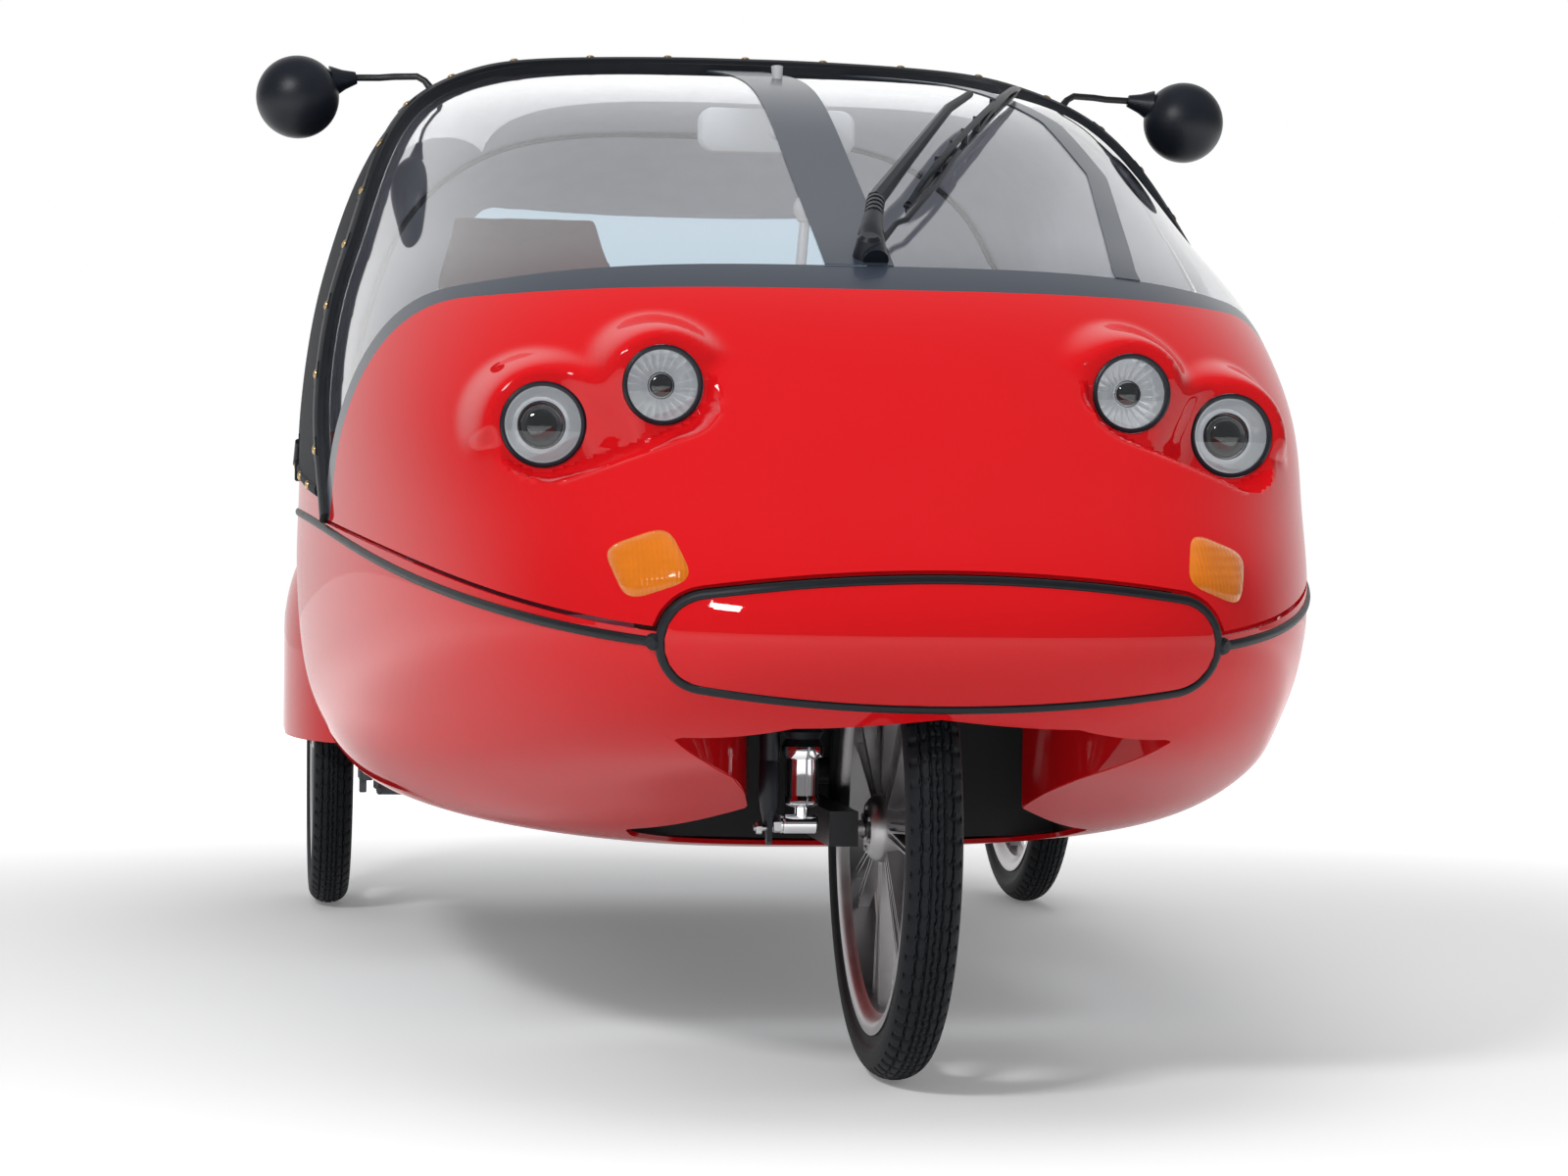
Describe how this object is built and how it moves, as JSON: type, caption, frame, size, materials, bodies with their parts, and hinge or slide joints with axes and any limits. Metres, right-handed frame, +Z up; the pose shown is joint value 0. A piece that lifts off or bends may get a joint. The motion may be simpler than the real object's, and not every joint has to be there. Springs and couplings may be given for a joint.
{
  "type": "three-wheeled vehicle",
  "caption": "Light enclosed vehicle with one steered wheel in front and two wheels behind, a rounded shell, and a bubble canopy that tips forward on a front hinge.",
  "frame": {"origin": "on the ground under the middle of the vehicle's length and width", "axes": "+Z up, -Y towards the front, +X towards the vehicle's left side; wheel axles along X"},
  "size_m": [1.2979, 2.6509, 1.2],
  "materials": {
    "red_paint": "gloss",
    "rubber_black": "matte",
    "band_slate": "satin",
    "screen_clear": "clear",
    "fabric_top": "woven",
    "window_clear": "clear",
    "plastic_black": "matte",
    "steel_black": "satin",
    "steel": "satin",
    "chrome": "polished",
    "alloy": "cast satin",
    "tyre_rubber": "matte",
    "lens_clear": "clear",
    "lamp_reflector": "polished",
    "amber": "ribbed",
    "red_lens": "ribbed",
    "seat_fabric": "woven",
    "mirror_plastic": "fine grain",
    "light_plastic": "matte",
    "battery_case": "matte",
    "motor_case": "cast"
  },
  "bodies": {
    "root": {"hull": "red_paint", "fender_left": "red_paint", "fender_right": "red_paint", "mouth_panel": "red_paint", "mouth_ring": "rubber_black", "seam_trim": "rubber_black", "rear_body": "red_paint", "soft_top": "fabric_top", "rear_window": "window_clear", "front_housing": "plastic_black", "rear_housings": "plastic_black", "stem_bearing": "steel_black", "hinge_brackets": "steel", "cabin_floor": "plastic_black", "battery_block": "battery_case", "motor_block": "motor_case", "seat_cushion_left": "seat_fabric", "seat_cushion_right": "seat_fabric", "seat_back_left": "seat_fabric", "seat_back_right": "seat_fabric", "steering_lever": "light_plastic", "rear_axle": "steel_black", "rear_arms": "steel_black", "rear_stub_axles": "steel", "tail_lamps": "red_lens"},
    "canopy": {"hood": "red_paint", "screen_band": "band_slate", "windscreen": "screen_clear", "canopy_arch": "rubber_black", "inner_lamp_bowls": "lamp_reflector", "inner_lamp_lenses": "lens_clear", "outer_lamp_bowls": "lamp_reflector", "outer_lamp_lenses": "lens_clear", "indicators": "amber", "mirror_rods": "steel_black", "mirror_heads": "mirror_plastic", "inside_mirror": "light_plastic", "wiper": "steel_black", "hinge_arms": "steel"},
    "steering": {"steering_yoke": "steel_black", "swing_arm": "steel_black", "front_axle": "steel", "damper": "chrome", "guide_leg": "steel_black"},
    "front_wheel": {"front_tyre": "tyre_rubber", "front_wheel": "alloy"},
    "rear_left_wheel_body": {"rear_left_tyre": "tyre_rubber", "rear_left_wheel": "alloy"},
    "rear_right_wheel_body": {"rear_right_tyre": "tyre_rubber", "rear_right_wheel": "alloy"}
  },
  "joints": [
    {"name": "canopy_hinge", "type": "hinge", "parent": "root", "child": "canopy", "pos_m": [0, -1.291, 0.455], "axis": [1, 0, 0], "range_deg": [0, 48]},
    {"name": "steering_turn", "type": "hinge", "parent": "root", "child": "steering", "pos_m": [0, -1.03, 0.258], "axis": [0, 0, 1], "range_deg": [-30, 30]},
    {"name": "front_wheel_spin", "type": "hinge", "parent": "steering", "child": "front_wheel", "pos_m": [0, -1, 0.258], "axis": [1, 0, 0], "continuous": true},
    {"name": "rear_left_spin", "type": "hinge", "parent": "root", "child": "rear_left_wheel_body", "pos_m": [0.527, 0.8, 0.258], "axis": [1, 0, 0], "continuous": true},
    {"name": "rear_right_spin", "type": "hinge", "parent": "root", "child": "rear_right_wheel_body", "pos_m": [-0.527, 0.8, 0.258], "axis": [1, 0, 0], "continuous": true}
  ]
}
